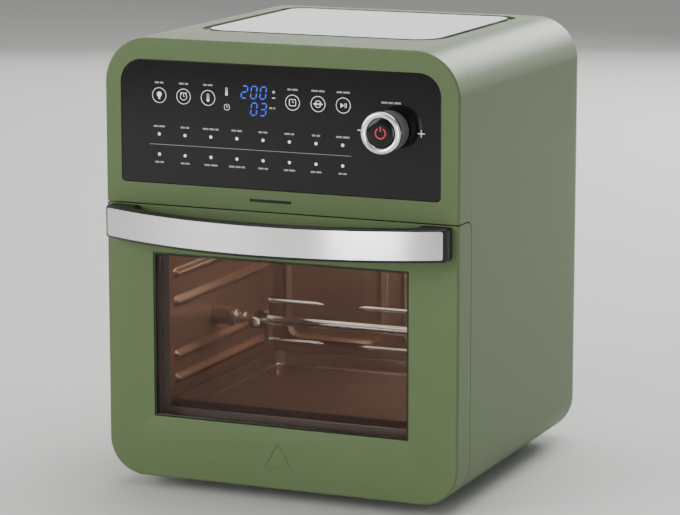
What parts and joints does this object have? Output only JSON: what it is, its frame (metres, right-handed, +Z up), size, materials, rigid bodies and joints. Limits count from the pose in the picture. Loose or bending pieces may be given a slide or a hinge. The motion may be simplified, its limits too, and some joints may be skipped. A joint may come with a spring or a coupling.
{
  "type": "air fryer oven",
  "caption": "Countertop air fryer oven with a drop-down glass door, bowed bar handle, touch panel with rotary knob, convection fan and rotisserie spit.",
  "frame": {"origin": "centre of the part's box, on the surface its feet stand on", "axes": "+X to the right seen from the front, +Y from the door to the back, +Z up"},
  "size_m": [0.31, 0.3743, 0.376],
  "materials": {
    "shell_green": "moulded, satin sage green, fine texture",
    "top_inlay": "pale grey satin inlay",
    "gloss_black": "piano black",
    "black_plastic": "moulded, fine grain",
    "knob_grey": "fluted, satin",
    "silver_trim": "brushed along its length",
    "oven_steel": "bright rolled sheet",
    "dark_steel": "dark baked coat",
    "bright_steel": "polished",
    "tinted_glass": "brown-tinted, toughened",
    "clear_glass": "heat-proof",
    "rubber": "moulded",
    "circuit_board": "solder mask",
    "motor_can": "zinc plated",
    "screw_zinc": "zinc plated"
  },
  "bodies": {
    "casing": {"outer_wrap": "shell_green", "top_panel": "top_inlay", "front_fascia": "shell_green", "control_lens": "gloss_black", "control_board": "circuit_board", "display_module": "black_plastic", "encoder": "motor_can", "power_board": "circuit_board", "fan_motor": "motor_can", "fan_housing": "oven_steel", "heater_coil": "dark_steel", "heater_guard": "oven_steel", "guard_posts": "bright_steel", "oven_ceiling": "oven_steel", "oven_left_wall": "oven_steel", "oven_right_wall": "oven_steel", "oven_back_wall": "oven_steel", "oven_floor": "oven_steel", "front_frame": "oven_steel", "lamp_housing": "dark_steel", "lamp_bulb": "clear_glass", "lamp_lens": "clear_glass", "temperature_probe": "bright_steel", "rotisserie_motor": "motor_can", "spit_cradle": "oven_steel", "door_switch": "black_plastic", "door_magnets": "dark_steel", "hinge_brackets": "oven_steel", "hinge_pins": "bright_steel", "door_springs": "bright_steel", "exhaust_duct": "oven_steel", "rear_panel": "dark_steel", "rear_spacers": "black_plastic", "cord_gland": "black_plastic", "base_pan": "dark_steel", "feet": "rubber", "rear_screws": "screw_zinc", "base_screws": "screw_zinc"},
    "door": {"door_frame": "shell_green", "window_trim": "gloss_black", "outer_glass": "tinted_glass", "inner_glass": "tinted_glass", "door_inner_frame": "dark_steel", "door_seal": "rubber", "hinge_plates": "oven_steel", "handle_bar": "black_plastic", "handle_trim": "silver_trim", "handle_screws": "screw_zinc"},
    "knob": {"knob_body": "knob_grey", "knob_ring": "silver_trim"},
    "power_button": {"power_button": "gloss_black"},
    "spit": {"spit_rod": "bright_steel", "spit_forks": "bright_steel", "fork_screws": "bright_steel", "drive_coupler": "oven_steel"},
    "fan": {"fan_shaft": "bright_steel", "fan_blade": "oven_steel", "cooling_fan": "black_plastic"},
    "drip_tray": {"drip_tray": "dark_steel"},
    "switch_plunger": {"switch_plunger": "black_plastic"}
  },
  "joints": [
    {"name": "door_hinge", "type": "hinge", "parent": "casing", "child": "door", "pos_m": [0, -0.12485, 0.015], "axis": [1, 0, 0], "range_deg": [0, 75], "stiffness_Nm_per_rad": 0.35, "springref_deg": -40.11},
    {"name": "knob_turn", "type": "hinge", "parent": "casing", "child": "knob", "pos_m": [0.0972, -0.13685, 0.3125], "axis": [0, 1, 0], "continuous": true},
    {"name": "power_button_press", "type": "slide", "parent": "casing", "child": "power_button", "axis": [0, 1, 0], "range_m": [0, 0.0012], "stiffness_N_per_m": 400, "springref_m": -0.002},
    {"name": "spit_spin", "type": "hinge", "parent": "casing", "child": "spit", "pos_m": [0, -0.00685, 0.122], "axis": [1, 0, 0], "continuous": true},
    {"name": "fan_spin", "type": "hinge", "parent": "casing", "child": "fan", "pos_m": [0, 0.00515, 0.26], "axis": [0, 0, 1], "continuous": true},
    {"name": "drip_tray_slide", "type": "slide", "parent": "casing", "child": "drip_tray", "axis": [0, -1, 0], "range_m": [0, 0.014]},
    {"name": "switch_plunger_press", "type": "slide", "parent": "casing", "child": "switch_plunger", "axis": [0, 1, 0], "range_m": [0, 0.0015], "stiffness_N_per_m": 150, "springref_m": -0.002}
  ]
}
